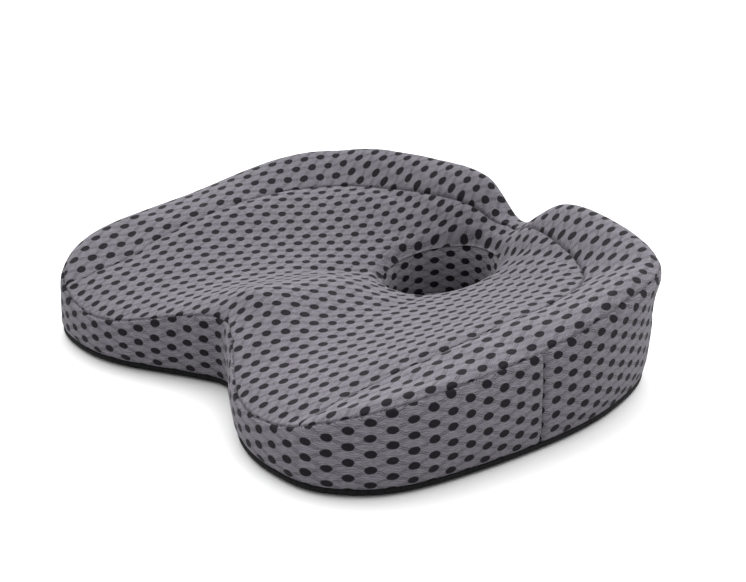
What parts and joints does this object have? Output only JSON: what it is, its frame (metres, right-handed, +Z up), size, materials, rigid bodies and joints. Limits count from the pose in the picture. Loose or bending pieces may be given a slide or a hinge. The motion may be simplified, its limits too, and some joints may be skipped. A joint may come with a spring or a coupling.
{
  "type": "seat cushion",
  "caption": "Contoured foam seat cushion with a front notch, a pressure-relief hole and a raised rear, in a zipped mesh cover with a non-slip base.",
  "frame": {"origin": "centre of the footprint on the face the cushion rests on", "axes": "+X across the seat, +Y towards the raised rear, +Z up"},
  "size_m": [0.4496, 0.373, 0.0952],
  "materials": {
    "foam": "open-cell slow-recovery polyurethane foam",
    "liner": "thin plain knit",
    "spacer_mesh": "grey spacer mesh with large oval holes",
    "non_slip": "black non-slip fabric with small rubber dots",
    "zip_nylon": "black woven tape and nylon coil",
    "zip_metal": "black enamelled zinc alloy"
  },
  "bodies": {
    "cushion": {"foam_core": "foam", "liner_top": "liner", "liner_base": "liner", "seat_panel": "spacer_mesh", "border_panel": "spacer_mesh", "wall_front": "spacer_mesh", "wall_rear": "spacer_mesh", "hole_wall": "spacer_mesh", "hole_floor": "spacer_mesh", "base_front": "non_slip", "base_rear": "non_slip", "zip_tape_front": "zip_nylon", "zip_tape_rear": "zip_nylon", "zip_coil_front": "zip_nylon", "zip_coil_rear": "zip_nylon", "zip_stop_left": "zip_metal", "zip_stop_right": "zip_metal"},
    "zip_slider": {"zip_slider": "zip_metal"},
    "zip_pull": {"zip_pull": "zip_metal"}
  },
  "joints": [
    {"name": "zip_slide", "type": "slide", "parent": "cushion", "child": "zip_slider", "axis": [-1, 0, 0], "range_m": [0, 0.3208]},
    {"name": "pull_hinge", "type": "hinge", "parent": "zip_slider", "child": "zip_pull", "pos_m": [0.1604, -0.05, 0.0021], "axis": [0, -1, 0], "range_deg": [0, 160]}
  ]
}
